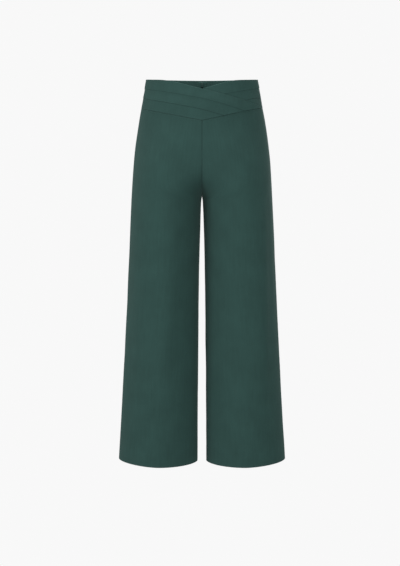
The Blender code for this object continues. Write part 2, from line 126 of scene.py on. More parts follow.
OVER_LINES = {
    "top": line((0, 0), (0.12, -1.6), (0.26, -4.6), (0.36, -11.8), (0.43, -18.8), (0.50, -25.6),
                (0.645, -39.9), (0.772, -53.6), (0.871, -64.2), (0.94, -72.1)),
    "tuck 1": line((0, -24.0), (0.08, -25.1), (0.276, -33.4), (0.42, -43.2), (0.51, -49.8), (0.60, -59.4),
                   (0.765, -80.2)),
    "tuck 2": line((0, -47.0), (0.07, -48.5), (0.186, -53.8), (0.377, -66.0), (0.505, -76.6),
                   (0.629, -91.6)),
    "lower": line((0, -71.2), (0.067, -73.0), (0.18, -79.4), (0.29, -87.0), (0.466, -100.4),
                  (0.50, -103.3)),
}
UNDER_LINES = {
    "top": line((0, 0), (0.15, -1.9), (0.31, -6.0), (0.41, -15.6), (0.50, -25.6), (0.645, -40.0),
                (0.76, -55.5), (0.86, -73.0)),
    "tuck 1": line((0, -20.9), (0.10, -23.6), (0.25, -30.7), (0.35, -37.4), (0.52, -54.0), (0.735, -83.2)),
    "tuck 2": line((0, -44.8), (0.178, -50.3), (0.228, -54.3), (0.42, -72.6), (0.629, -92.2)),
    "lower": line((0, -71.2), (0.046, -71.7), (0.10, -72.9), (0.17, -76.2), (0.236, -80.0), (0.368, -91.3),
                  (0.50, -103.3)),
}
LAP_RISE = 2.3            # how far the upper band stands over the lower one
LAP_START = 0.09          # of the girth, over which it climbs from its side seam

# Sewing
CLOTH_THICK = 0.45
SEAM_ROLL = 0.5           # the radius at which a panel turns in at a seam
SEAM_DIP = 0.35           # how far a seam draws the cloth in beside it
SEAM_DIP_WIDTH = 3.2
ALLOWANCE = 10.0          # pressed open inside, and overlocked
TURN_IN = 1.1             # how deep a panel's top edge turns into the waist seam
HEM_ROLL = 0.55
HEM_DEPTH = 38.0          # turned up inside
TURN_UP_RISE = -1.05
TURN_UP_OVER_SEAM = -0.6  # further in, where the turned-up hem lies over the seam allowances
TUCK_STAND = 0.75         # a tuck's folded edge over the strip below it
TUCK_ROLL = 0.36          # the radius of that edge
TUCK_DEPTH = 3.0          # how far the cloth runs up behind the edge
STAND_RUN = 0.95          # the share of a strip over which it climbs to its tuck's edge
TUCK_SHADE = (0.42, 1.15)  # how dark the painted shade in the crease under each tuck is
TOP_ROLL = 0.7            # the waist's top edge
ZIP_END_ROLL = 0.2        # the waistband's ends at the zip
EDGE_POLISH_AND_HIGHLIGHT = 1.1           # how far from a folded edge the cloth is a little polished and painted lighter as a highlight
SEAM_SHADE_WIDTH = 1.2        # how far from a seam it is painted a little darker as shade
SEAM_SHADE = 0.65
LAP_SHADE = 0.4           # painted shadow on the lower band, beside the upper band's edge
LAP_SHADE_WIDTH = 2.2
WAIST_SHADE = 0.8         # painted shade in the seam under the waistband
WAIST_SHADE_WIDTH = 0.6
WAIST_POLISH_AND_HIGHLIGHT = 2.0        # the pressed edge just under it: a little smoother, and painted lighter as a highlight
WAIST_POLISH_AND_HIGHLIGHT_FALL = 1.6
WAIST_POLISH_AND_HIGHLIGHT_WIDTH = 1.1
BACK_BOW = 1.5            # how far the back's top edge bows up between the side seams and the zip
BACK_BOW_PEAK = 0.55      # where it is highest, as a share of the way to the zip
BACK_BOW_FADE = 30.0


def spline(rows, column, value, key="level"):
    """A smooth curve through a short table's rows, at many values of its key column."""
    keys = np.array([getattr(row, key) for row in rows], float)
    heights = np.array([getattr(row, column) for row in rows], float)
    if keys[0] > keys[-1]:
        keys, heights = keys[::-1], heights[::-1]
    slopes = np.gradient(heights, keys)
    value = np.clip(value, keys[0], keys[-1])
    i = np.clip(np.searchsorted(keys, value) - 1, 0, len(keys) - 2)
    width = keys[i + 1] - keys[i]
    t = (value - keys[i]) / width
    start = (1 + 2 * t) * (1 - t) ** 2 * heights[i] + t * (1 - t) ** 2 * width * slopes[i]
    return start + t * t * (3 - 2 * t) * heights[i + 1] + t * t * (t - 1) * width * slopes[i + 1]


def smoothstep(t):
    t = np.clip(t, 0.0, 1.0)
    return t * t * (3 - 2 * t)


def fall(distance, width):
    """1 at no distance, falling away smoothly over a width."""
    return np.exp(-(distance / width) ** 2)


def notch(level, panel):
    """Half the gap at the centre seam, which opens at the zip's slider."""
    if panel == "front":
        return 0.0
    below = 1 - smoothstep((ZIP_NOTCH_FOOT - level) / (ZIP_NOTCH_FOOT - ZIP_NOTCH_CLOSE))
    above = smoothstep((ZIP_NOTCH_HEAD - level) / (ZIP_NOTCH_HEAD - ZIP_NOTCH_TOP))
    return ZIP_NOTCH_HALF * float(below * above)


CONTOUR_POINTS = 480


def contour(level, panel):
    """Half a cross section at one level, from the side seam to the centre seam or the inseam."""
    side, depth, curve, middle = (
        float(spline(SECTIONS, column, level)) for column in ("side", panel, "curve", "middle"))
    above = level - CROTCH
    if above <= 0:
        reach = middle - float(spline(PARTINGS, "gap", level))
    else:
        reach = float(spline(SECTIONS, "middle", CROTCH)) + REACH_SLOPE * above + REACH_GROWTH * above ** 2
    stop = max(notch(level, panel), middle - reach)
    if middle > stop:
        last = math.pi / 2 + math.asin(min(1.0, (middle - stop) / reach) ** (curve / 2))
    else:
        last = math.acos((stop - middle) / (side - middle))
    angle = np.linspace(0.0, min(last, math.pi), CONTOUR_POINTS)
    along = np.abs(np.cos(angle)) ** (2 / curve)
    x = middle + np.where(angle < math.pi / 2, side - middle, -reach) * along
    y = depth * np.abs(np.sin(angle)) ** (2 / curve)
    return x, -y if panel == "front" else y


class Form:
    """The garment's bare form, tabled once so that whole grids of points can be read from it."""

    ACROSS = 321
    NEAR_CROTCH = (0.05, 0.1, 0.2, 0.4, 0.7, 1.1, 1.6, 2.2, 3.0)
    STEP_ACROSS = 0.006
    STEP_UP = 1.0

    def __init__(self):
        near = [CROTCH + sign * step for step in self.NEAR_CROTCH for sign in (-1, 1)]
        self.levels = np.unique(np.concatenate([
            np.arange(-1012.0, CROTCH - 4, 3.0), near, [CROTCH],
            np.arange(CROTCH + 4, -200, 1.0), np.arange(-200.0, 13.0, 2.0), NOTCH_ROWS]))
        self.tables = {}
        for panel in ("front", "back"):
            rows = []
            for level in self.levels:
                x, y = contour(level, panel)
                along = np.concatenate([[0.0], np.cumsum(np.hypot(np.diff(x), np.diff(y)))])
                at = np.linspace(0, along[-1], self.ACROSS)
                rows.append((np.interp(at, along, x), np.interp(at, along, y), along[-1]))
            self.tables[panel] = tuple(np.array(column) for column in zip(*rows))

    def length(self, panel, level):
        """The panel's width along the cloth at these levels."""
        return np.interp(level, self.levels, self.tables[panel][2])

    def bare(self, panel, across, level):
        """Points of the wearer's left half. Past a seam the form goes on as its mirror image."""
        past = across > 1
        before = across < 0
        at = np.where(past, 2 - across, np.abs(across)) * (self.ACROSS - 1)
        j = np.clip(at.astype(int), 0, self.ACROSS - 2)
        u = at - j
        i = np.clip(np.searchsorted(self.levels, level, side="right") - 1, 0, len(self.levels) - 2)
        t = (level - self.levels[i]) / (self.levels[i + 1] - self.levels[i])
        xs, ys, _ = self.tables[panel]
        x, y = (((1 - t) * ((1 - u) * g[i, j] + u * g[i, j + 1])
                 + t * ((1 - u) * g[i + 1, j] + u * g[i + 1, j + 1])) for g in (xs, ys))
        x = np.where(past & (level > CROTCH), -x, x)
        y = np.where(before | (past & (level <= CROTCH)), -y, y)
        return np.stack([x, y, level + 0 * x], axis=-1)

    def point(self, leg, panel, across, level, rise):
        """Points of the cloth, rise millimetres out from the bare form."""
        across, level = np.broadcast_arrays(np.asarray(across, float), np.asarray(level, float))
        step = self.STEP_ACROSS
        along = self.bare(panel, across + step, level) - self.bare(panel, across - step, level)
        up = self.bare(panel, across, level + self.STEP_UP) - self.bare(panel, across, level - self.STEP_UP)
        out = np.cross(along, up)
        if panel == "back":
            out = -out
        out /= np.linalg.norm(out, axis=-1, keepdims=True)
        made = self.bare(panel, across, level) - out * np.asarray(rise)[..., None]
        if leg == "right":
            made[..., 0] *= -1
        return made

    def front_point(self, place, level, rise):
        """Points of the whole front: place is 0 at the right side seam and 1 at the left one."""
        place, level, rise = np.broadcast_arrays(place, level, rise)
        right = self.point("right", "front", 2 * place, level, rise)
        left = self.point("left", "front", 2 * (1 - place), level, rise)
        return np.where((place <= CENTRE_FRONT)[..., None], right, left)


form = Form()

# Soft folds of the legs. The ridge runs from top_across to foot_across, between two heights; across
# is 0 at the side seam and 1 at the inseam. height is out of the cloth, spread is its half width, and
# skew makes one side steeper than the other.
Fold = namedtuple("Fold", "leg panel top_across foot_across top foot height spread skew")
FOLDS = table(
    Fold,
    ("left", "front", 0.27, 0.33, -190, -970, 5.2, 27, 0.3),
    ("left", "front", 0.08, 0.10, -300, -930, -1.0, 20, 0.0),
    ("left", "front", 0.66, 0.62, -420, -900, 1.4, 26, 0.0),
    ("right", "front", 0.58, 0.50, -210, -960, 4.2, 27, 0.0),
    ("right", "front", 0.80, 0.80, -330, -900, -0.9, 32, 0.0),
    ("right", "front", 0.16, 0.20, -420, -940, -1.6, 22, 0.0),
    ("left", "back", 0.58, 0.58, -300, -700, -3.4, 35, 0.0),
    ("left", "back", 0.36, 0.36, -340, -880, 2.8, 32, 0.0),
    ("right", "back", 0.62, 0.62, -310, -780, -3.0, 32, 0.0),
    ("right", "back", 0.30, 0.30, -420, -930, 2.6, 35, 0.0),
    ("left", "back", 0.90, 0.36, -322, -420, -2.0, 55, 0.0),
    ("left", "back", 0.86, 0.52, -300, -345, 1.2, 45, 0.0),
    ("right", "back", 0.88, 0.42, -330, -436, -1.8, 55, 0.0),
    ("right", "back", 0.84, 0.50, -306, -352, 1.2, 48, 0.0),
)
FOLD_TAPER = 1.5


def drape(leg, panel, across, level):
    """How far the folds lift the cloth of one leg panel."""
    total = np.zeros(np.broadcast(across, level).shape)
    girth = form.length(panel, level)
    for fold in FOLDS:
        if (fold.leg, fold.panel) != (leg, panel):
            continue
        down = np.clip((fold.top - level) / (fold.top - fold.foot), 0, 1)
        ridge = fold.top_across + (fold.foot_across - fold.top_across) * down
        beside = (across - ridge) * girth / fold.spread
        beside = beside / (1 + fold.skew * np.tanh(beside * 2))
        total += fold.height * np.sin(math.pi * down) ** FOLD_TAPER * np.exp(-beside * beside)
    return total


WAVES = 9


def unevenness(u, v, seed, size, height):
    """A soft random swell of the cloth, the same on each run."""
    rng = np.random.default_rng(seed)
    total = np.zeros(np.broadcast(u, v).shape)
    for _ in range(WAVES):
        turn, phase, stretch = rng.uniform(0, math.pi), rng.uniform(0, 2 * math.pi), rng.uniform(0.7, 1.6)
        total += np.sin((u * math.cos(turn) + v * math.sin(turn)) * 2 * math.pi / (size * stretch) + phase)
    return total * height / math.sqrt(WAVES)


def add_object(name, data):
    made = bpy.data.objects.new(name, data)
    bpy.context.scene.collection.objects.link(made)
    return made


def modify(made, name, kind, **settings):
    modifier = made.modifiers.new(name, kind)
    for key, value in settings.items():
        setattr(modifier, key, value)


def mesh_of(name, shape):
    """The mesh of a finished bmesh shape."""
    mesh = bpy.data.meshes.new(name)
    shape.to_mesh(mesh)
    shape.free()
    return mesh


def sheet_object(name, replaced, points, weave, fold_polish_and_highlight=0.0, crease_shade=0.0, cells=None, flipped=False,
                 thick=CLOTH_THICK):
    """One cut piece as a smooth thin sheet. points is a grid, and weave is each point's place across
    and along the flat cloth, both in millimetres. The next two grids say how near a point is to a folded
    or rolled edge, where the cloth is a little smoother and painted lighter as a highlight, and how deep
    it is in the crease beside one, where it is painted darker as shade. cells says which cells are cloth."""
    rows, columns = points.shape[:2]
    weave = np.stack(np.broadcast_arrays(*weave), axis=-1) * MM
    fold_polish_and_highlight, crease_shade = (np.broadcast_to(values, (rows, columns)) for values in (fold_polish_and_highlight, crease_shade))
    if cells is None:
        cells = np.ones((rows - 1, columns - 1), bool)
    if flipped:
        points, weave, fold_polish_and_highlight, crease_shade, cells = (
            grid[:, ::-1] for grid in (points, weave, fold_polish_and_highlight, crease_shade, cells))
    index = np.arange(rows * columns).reshape(rows, columns)
    quads = np.stack([index[:-1, :-1], index[1:, :-1], index[1:, 1:], index[:-1, 1:]], axis=-1)[cells]
    used, quads = np.unique(quads, return_inverse=True)
    quads = quads.reshape(-1, 4)
    mesh = bpy.data.meshes.new(name)
    mesh.from_pydata((points.reshape(-1, 3)[used] * MM).tolist(), [], quads.tolist())
    flat = weave.reshape(-1, 2)[used]
    layer = mesh.uv_layers.new(name="weave")
    layer.data.foreach_set("uv", flat[quads.ravel()].astype(np.float32).ravel())
    for key, values in (("fold_polish_and_highlight", fold_polish_and_highlight), ("crease_shade", crease_shade)):
        values = values.ravel()[used].astype(np.float32)
        mesh.attributes.new(key, "FLOAT", "POINT").data.foreach_set("value", values)
    mesh.shade_smooth()
    made = add_object(name, mesh)
    modify(made, "cloth", "SOLIDIFY", thickness=thick * MM, offset=-1, use_even_offset=False)
    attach(made, "trousers")
    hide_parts(replaced)
    return made


def rolled(radius, start, stop, steps):
    """A rolled edge: pairs of distance from the edge and rise, from angle start to stop in degrees."""
    angle = np.radians(np.linspace(start, stop, steps))
    return np.stack([radius * (1 - np.cos(angle)), radius * (np.sin(angle) - 1)], axis=-1)


# Legs. Rows and columns of a panel stand at these distances in millimetres.
PANELS = tuple((leg, panel) for leg in ("right", "left") for panel in ("front", "back"))
ALLOWANCE_COLUMNS = np.array([ALLOWANCE, 7.0, 4.0, 1.8])         # from the seam, on its allowance
SEAM_COLUMNS = np.array([0.9, 1.5, 2.4, 3.6, 5.2, 7.2])          # and on the panel
MIDDLE_COLUMNS = 84
ROLL_COLUMNS = 7          # round the fold between them
WAIST_SHARES = np.concatenate([[0.004, 0.010, 0.020, 0.034], np.linspace(0.055, 1, 20)])
GUIDE_LEVEL = -90.0       # the waist seam's rows have their columns here
LEVEL_ROWS = -172.0       # from the waist seam down to here they turn level
LEVEL_STEP = 6.0
ABOVE_CROTCH = np.array([66, 60, 54, 48, 42.5, 37.5, 33, 28.5, 24.5, 21, 17.5, 14.5, 11.5, 9, 7, 5.2, 3.8,
                         2.6, 1.6, 0.7, 0.1])
BELOW_CROTCH = np.array([0.7, 2.2, 4, 6, 8.5, 11.5, 15, 19, 23.5, 28])
ABOVE_HEM = np.array([10.5, 7.5, 5, 3, 1.8, 1.0])
TURN_UP_ROWS = np.array([1.2, 2.5, 5, 9, 14, 19, 24, 29, 33, 36, HEM_DEPTH])
HEM_MIDDLE = (HEM_SIDE + HEM_INSEAM) / 2


def across_rows(panel, level):
    """Where a leg panel's columns stand across it, at one level."""
    length = form.length(panel, level)
    seam = rolled(SEAM_ROLL, -90, 90, ROLL_COLUMNS)[:, 0]
    near = np.concatenate([ALLOWANCE_COLUMNS, seam, SEAM_COLUMNS]) / length
    shares = np.linspace(0, 1, MIDDLE_COLUMNS + 2)[1:-1]
    return np.concatenate([near, near[-1] + (1 - 2 * near[-1]) * shares, 1 - near[::-1]])


def panel_columns():
    """The rise of each of a leg panel's columns, and which of them are allowance inside its seams."""
    rise = np.concatenate([np.full(len(ALLOWANCE_COLUMNS), -2 * SEAM_ROLL),
                           rolled(SEAM_ROLL, -90, 90, ROLL_COLUMNS)[:, 1], np.zeros(len(SEAM_COLUMNS))])
    hidden = np.arange(len(rise)) < len(ALLOWANCE_COLUMNS) + ROLL_COLUMNS // 2
    return (np.concatenate([rise, np.zeros(MIDDLE_COLUMNS), rise[::-1]]),
            np.concatenate([hidden, np.zeros(MIDDLE_COLUMNS, bool), hidden[::-1]]))


def height_on(marks, across):
    """The level of one of the waistband's lines."""
    return spline(marks, "level", across, key="across")


def waist_seam(leg, panel, across):
    if panel == "back":
        return np.full(np.shape(across), BAND_SIDE)
    lines = OVER_LINES if leg == "right" else UNDER_LINES
    return height_on(lines["lower"], np.clip(across, 0, 1) / 2)


def hem_slant(across, level=HEM_SIDE):
    """How far the hem's slant moves a row, which fades out above it."""
    ease = smoothstep(1 - (level - HEM_SIDE) / HEM_EASE)
    return ease * (HEM_SIDE - HEM_INSEAM) / 2 * np.cos(math.pi * np.clip(across, 0, 1))


def turn_up_over_seam(panel, across):
    """How much further in the turned-up hem lies, over the seam allowances."""
    across = np.clip(across, 0, 1)
    distance = np.minimum(across, 1 - across) * form.length(panel, HEM_MIDDLE)
    return TURN_UP_OVER_SEAM * smoothstep((ALLOWANCE + 4 - distance) / 3)


SWELLS = ((150, 0.25), (60, 0.06))        # size and height
SWELL_FADE = 30.0
PUCKER = 0.35


def swell(leg, panel, across, level):
    """The soft unevenness of a leg panel, which starts below the waistband."""
    seed = {"left": 11, "right": 23}[leg] + {"front": 0, "back": 5}[panel]
    along = across * form.length(panel, level)
    soft = sum(unevenness(along, level, seed + k, *size) for k, size in enumerate(SWELLS))
    return soft * smoothstep((waist_seam(leg, panel, across) - level) / SWELL_FADE)


def pucker(level):
    """How unevenly a seam draws in the cloth beside it."""
    return 1 + PUCKER * np.sin(level / 3.9 + 2 * np.sin(level / 17)) * np.sin(level / 31)


def leg_panel(leg, panel):
    """One cut piece of a leg: rolled in at its seams with the allowances pressed open inside, turned
    into the waist seam at the top, and turned up at the hem."""
    rows = []

    def add(across, level, rise=0.0, kind="body"):
        """Adds a row. They run down from the waist seam, round the hem's fold and up inside it."""
        rows.append((across, np.broadcast_to(level, across.shape), np.broadcast_to(rise, across.shape), kind))

    guide = across_rows(panel, GUIDE_LEVEL)
    top = waist_seam(leg, panel, guide) - SEAM_GAP / 2
    add(guide, top, -SEAM_ROLL - TURN_IN, "top")
    for below, rise in rolled(SEAM_ROLL, 0, 90, 4):
        add(guide, top - below, rise, "top")
    top = top - SEAM_ROLL
    for share in WAIST_SHARES:
        level = top + (LEVEL_ROWS - top) * share
        add(across_rows(panel, level.mean()), level)
    for level in np.concatenate([np.arange(LEVEL_ROWS - LEVEL_STEP, CROTCH + 70, -LEVEL_STEP),
                                 CROTCH + ABOVE_CROTCH, CROTCH - BELOW_CROTCH,
                                 np.linspace(CROTCH - 33, HEM_SIDE + 14, 122)]):
        across = across_rows(panel, level)
        add(across, level + hem_slant(across, level))
    across = across_rows(panel, HEM_MIDDLE)
    hem = HEM_MIDDLE + hem_slant(across)
    for above in ABOVE_HEM:
        add(across, hem + above)
    for above, rise in rolled(HEM_ROLL, 90, -90, 7):
        add(across, hem + above, rise, "hem")
    for above in TURN_UP_ROWS:
        over_seam = turn_up_over_seam(panel, across) * smoothstep(above / 5)
        add(across, hem + above, TURN_UP_RISE + over_seam, "turned")

    across, level, rise = (np.array([row[k] for row in rows]) for k in range(3))
    kind = np.array([row[3] for row in rows])
    column_rise, column_hidden = panel_columns()
    length = form.length(panel, level)
    distance = np.minimum(across, 1 - across) * length
    below_top = waist_seam(leg, panel, across) - level
    dip = -SEAM_DIP * pucker(level) * fall(distance, SEAM_DIP_WIDTH)
    rise = rise + np.where((kind == "turned")[:, None], 0, column_rise)
    rise = rise + drape(leg, panel, across, level) + dip + swell(leg, panel, across, level)
    cells = np.ones((len(rows) - 1, len(guide) - 1), bool)
    no_allowance = kind != "body"
    cells[np.ix_(no_allowance[:-1] | no_allowance[1:], column_hidden[:-1] | column_hidden[1:])] = False
    # Painted highlight on the pressed edge just under the waist seam, which is also a little smoother, and
    # painted shade in that seam
    waist_polish_and_highlight = WAIST_POLISH_AND_HIGHLIGHT * fall(below_top - WAIST_POLISH_AND_HIGHLIGHT_FALL, WAIST_POLISH_AND_HIGHLIGHT_WIDTH)
    # Painted shade beside the seams
    crease_shade = SEAM_SHADE * fall(distance, SEAM_SHADE_WIDTH) * smoothstep((level - hem) / 4)
    return sheet_object(
        f"cloth_{panel}_leg_{leg}", f"{panel}_leg_{leg}", form.point(leg, panel, across, level, rise),
        weave=((across - 0.5) * length, level),
        # The hem's fold is a little smoother and painted lighter as a highlight
        fold_polish_and_highlight=np.maximum(fall(level - hem, EDGE_POLISH_AND_HIGHLIGHT), waist_polish_and_highlight),
        crease_shade=np.maximum(crease_shade, WAIST_SHADE * fall(below_top, WAIST_SHADE_WIDTH)),
        cells=cells, flipped=(leg == "left") == (panel == "front"))


legs = [leg_panel(leg, panel) for leg, panel in PANELS]

# Waistband. A front piece has three strips, each between two of its lines.
STRIPS = (("top", "tuck 1"), ("tuck 1", "tuck 2"), ("tuck 2", "lower"))
END_EASE = 0.5            # the share of a strip over which its rows settle onto the other band's seam
TUCK_CROSSING = {"tuck 1": 0.35, "tuck 2": 0.228}   # where the upper band covers the lower band's tucks
TUCK_FADE = 0.06
TUCK_STAND_CROSSED = 0.45
TUCK_STAND_COVERED = 0.2
END_COLUMNS = np.array([0, 0.15, 0.35, 0.7, 1.4])   # millimetres from a piece's end
FRONT_BAND_LENGTH = 440.0
BACK_BAND_MIDDLE = -36.0
FRONT_BAND_SWELL = (52, 0.26)
BACK_BAND_SWELL = (60, 0.25)
SEAM_LIFT = 0.25          # the waistband's lower fold stands over the leg's
OUTSIDE = -0.6 * WALL     # rows with more rise than this are outside the fold
LOWER_FOLD = rolled(SEAM_ROLL, 90, 0, 5) + (SEAM_GAP / 2, SEAM_LIFT)       # above the lower seam, and rise
LOWER_TURN_IN = ((SEAM_GAP / 2 + 0.3, -SEAM_ROLL - 0.35), (2.0, -SEAM_ROLL - 0.3))


def band_place(lines, strip, down, share):
    """A place on a front waistband: down from one line to the next, and share of the way along."""
    upper, lower = (lines[name] for name in STRIPS[strip])

    def between(a, b):
        return a + (b - a) * down

    end = between(upper[-1].across, lower[-1].across)
    level = between(*(height_on(marks, marks[-1].across * share) for marks in (upper, lower)))
    if 0 < down < 1:
        other = UNDER_LINES if lines is OVER_LINES else OVER_LINES
        drop = height_on(other["lower"], 1 - end) - between(upper[-1].level, lower[-1].level)
        level = level + smoothstep((share - 1 + END_EASE) / END_EASE) * drop
    return end * share, level


# A row of the waistband: its strip, how far down it, its shift in level, its rise, how much of the
# tuck's stand applies, and its edge, from 1 on a folded edge, painted lighter as a highlight, to -1 in a
# crease, painted darker as shade.
Row = namedtuple("Row", "strip down shift rise stand edge")


def band_profile():
    """A front waistband's rows. They start inside at the lower seam, and end inside too, under the
    facing's foot."""
    rows = [(2, 1.0, 3.0, 0.5 - WALL, 0, 0), (2, 1.0, 0.4, 0.4 - WALL, 0, 0),
            (2, 1.0, 0.0, 0.2 - WALL, 0, 0.6), (2, 1.0, 0.4, -WALL, 0, 0)]
    for strip in (2, 1, 0):
        rows += [(strip, down, 0.0, -WALL, 0, 0) for down in (0.92, 0.75, 0.5, 0.25, 0.08)]
    rows += [(0, 0.0, -below, rise, 0, 1) for below, rise in rolled(TOP_ROLL, -90, 90, 9)]
    for strip in (0, 1, 2):
        for down in (0.07, 0.16, 0.28, 0.42, 0.56, 0.70, 0.82, 0.92):
            rows.append((strip, down, 0.0, 0.0, float(smoothstep(down / STAND_RUN)) if strip < 2 else 0.0, 0))
        if strip < 2:
            rows += [(strip, 1.0, above, rise, 1, 1) for above, rise in rolled(TUCK_ROLL, 90, -90, 7)]
            rows += [(strip, 1.0, TUCK_DEPTH * share, -2 * TUCK_ROLL, 1, -1) for share in (0.5, 1.0)]
            rows += [(strip, 1.0, TUCK_DEPTH * 0.5, -0.06, 0, -1), (strip, 1.0, 0.6, -0.05, 0, -1),
                     (strip, 1.0, -0.5, 0.0, 0, -TUCK_SHADE[strip]), (strip, 1.0, -1.3, 0.0, 0, 0)]
    rows += [(2, 1.0, above, rise, 0, 0.5) for above, rise in LOWER_FOLD]
    rows += [(2, 1.0, above, rise, 0, -1) for above, rise in LOWER_TURN_IN]
    return table(Row, *rows)


def tuck_stand(tuck, across, under):
    """How far a tuck stands up: less towards the place where the upper band covers it."""
    if not under:
        return TUCK_STAND
    crossing = TUCK_CROSSING[tuck]
    shown = TUCK_STAND - (TUCK_STAND - TUCK_STAND_CROSSED) * smoothstep(across / crossing)
    return np.maximum(shown * (1 - smoothstep((across - crossing) / TUCK_FADE)), TUCK_STAND_COVERED)


def end_columns(count, length):
    """Columns along a waistband piece, closer together at its ends."""
    near = END_COLUMNS / length
    return np.unique(np.concatenate([near, np.linspace(0, 1, count)[1:-1], 1 - near]))


def turned_ends(share, length, radius, outside, soft):
    """What a waistband piece's rise gains: its ends turn in, and its outside is softly uneven."""
    from_end = np.minimum(share, 1 - share) * length
    roll = radius - np.sqrt(np.maximum(0, radius ** 2 - np.maximum(0, radius - from_end) ** 2))
    return np.where(outside, soft - roll, roll * 0.6)


def front_band(name, replaced, lines, under):
    """A front waistband piece, folded double at the top, with two tucks across it."""
    profile = band_profile()
    shares = end_columns(150, FRONT_BAND_LENGTH)
    across, level, rise = [], [], []
    for row in profile:
        place, height = band_place(lines, row.strip, row.down, shares)
        lap = 0.0 if under else LAP_RISE * smoothstep(place / LAP_START)
        stand = row.stand * tuck_stand(STRIPS[row.strip][1], place, under) if row.stand else 0.0
        across.append(place)
        level.append(height + row.shift)
        rise.append(row.rise + stand + lap + 0 * place)
    across, level, rise = np.array(across), np.array(level), np.array(rise)
    outside = np.array([[row.rise > OUTSIDE] for row in profile])
    edge = np.array([[row.edge] for row in profile])
    along = across * 2 * form.length("front", level)
    soft = unevenness(along, level, 41 if under else 37, *FRONT_BAND_SWELL)
    rise = rise + turned_ends(shares, FRONT_BAND_LENGTH, SEAM_ROLL, outside, soft)
    place = 1 - across if under else across
    points = form.front_point(place, level, rise)
    down = np.concatenate([[0], np.cumsum(np.linalg.norm(np.diff(points[:, 40], axis=0), axis=-1))])
    # Painted highlight on folded edges, and painted shade in the tucks' creases and the lower seam
    crease_shade = -edge.clip(-2, 0)
    if under:
        # Painted shadow beside the upper band's edge, on the lower band
        beside = LAP_SHADE * fall(level - height_on(OVER_LINES["top"], place), LAP_SHADE_WIDTH)
        crease_shade = np.maximum(crease_shade, beside * (outside & (place > CENTRE_FRONT)))
    return sheet_object(name, replaced, points, weave=(along, -down[:, None]), fold_polish_and_highlight=edge.clip(0, 1),
                        crease_shade=crease_shade, flipped=under)


def back_band(leg):
    """Half of the back waistband, plain, folded double at the top, from the side seam to the zip."""
    length = float(form.length("back", BACK_BAND_MIDDLE))
    across = end_columns(70, length)
    plain = np.unique(np.concatenate([np.linspace(-70, -3, 22), NOTCH_ROWS, NOTCH_ROWS - 1.4]))
    rows = [(BAND_SIDE + 3.0, 0.5 - WALL), (BAND_SIDE + 0.2, 0.4 - WALL), (BAND_SIDE - 0.3, 0.2 - WALL),
            (BAND_SIDE + 0.2, -WALL)]
    rows += [(level, -WALL) for level in plain]
    rows += [(-below, rise) for below, rise in rolled(TOP_ROLL, -90, 90, 9)]
    rows += [(level, 0.0) for level in plain[::-1]]
    rows += [(BAND_SIDE + above, rise) for above, rise in (*LOWER_FOLD, *LOWER_TURN_IN)]
    level, rise = (np.array(column)[:, None] + 0 * across for column in zip(*rows))
    bow = BACK_BOW * smoothstep(across / BACK_BOW_PEAK)
    bow = bow * (1 - 0.3 * smoothstep((across - BACK_BOW_PEAK) / (1 - BACK_BOW_PEAK)))
    level = level + bow * smoothstep(1 + level / BACK_BOW_FADE)
    radius = np.where(across > 0.5, ZIP_END_ROLL, SEAM_ROLL)
    soft = unevenness(across * length, level, {"left": 51, "right": 57}[leg], *BACK_BAND_SWELL)
    rise = rise + turned_ends(across, length, radius, rise > OUTSIDE, soft)
    down = np.concatenate([[0], np.cumsum(np.hypot(np.diff(level[:, 0]), np.diff(rise[:, 30])))])
    # The folded top edge is a little smoother and painted lighter as a highlight
    return sheet_object(
        f"cloth_back_band_{leg}", f"waistband_back_{leg}", form.point(leg, "back", across, level, rise),
        weave=(across * length, -down[:, None]), fold_polish_and_highlight=fall(level - bow, EDGE_POLISH_AND_HIGHLIGHT),
        flipped=leg == "right")


bands = [front_band("cloth_upper_band", "waistband_front_over", OVER_LINES, False),
         front_band("cloth_lower_band", "waistband_front_under", UNDER_LINES, True),
         back_band("right"), back_band("left")]

# The concealed zip in the centre-back seam
TAPE_WIDTH = 11.0
TAPE_INNER_EDGE = 0.35
TAPE_RISE = -2.15         # inside the seam allowances
TAPE_THICK = 0.55
TAPE_TOP = -3.0
TAPE_FOOT = -171.8
COIL_RISE = -3.35
COIL_FOOT = -163.0
COIL_PITCH = 1.3
COIL_WIDTH = 2.5
COIL_HEIGHT = 1.5
COIL_SLANT = 12.0
COIL_THREAD = 0.24
STOP_LENGTH = 4.5
STOP_RADIUS = 1.75
STOP_PLATE = 0.5
STOP_WRAP = 112.0         # degrees to each side
STOP_ROWS = np.array([(0.0, 0.86), (0.06, 0.96), (0.2, 1.0), (0.5, 1.0), (0.8, 1.0), (0.94, 0.96),
                      (1.0, 0.86)])           # shares of its length and its radius
PULL_PLACE = Vector((0.0, 103.05, -8.14))       # the middle of the pull's top, as it hangs
PULL_DOWN = Vector((0.0, 0.1249, -0.9922))
PULL_OUT = Vector((0.0, 0.9922, 0.1249))
PULL_THICK = 1.2
PULL_HALF_TOP = 2.3
PULL_HALF_FOOT = 3.7
PULL_NECK = 3.5           # where it starts to widen, from its top
PULL_STRAIGHT = 19.9      # and where its round foot starts
PULL_EYE = (1.0, 1.2, 4.1, 0.3)                 # half width, head, foot and corner radius
PULL_PANEL = 6.0          # where the pressed panel starts
PULL_RIM = 0.75           # the flat rim beside it
PULL_SLOPE = 0.3          # the slant of its edge, and how deep it is pressed
PULL_PRESS = 0.2
EDGE_ROUNDING = 0.14

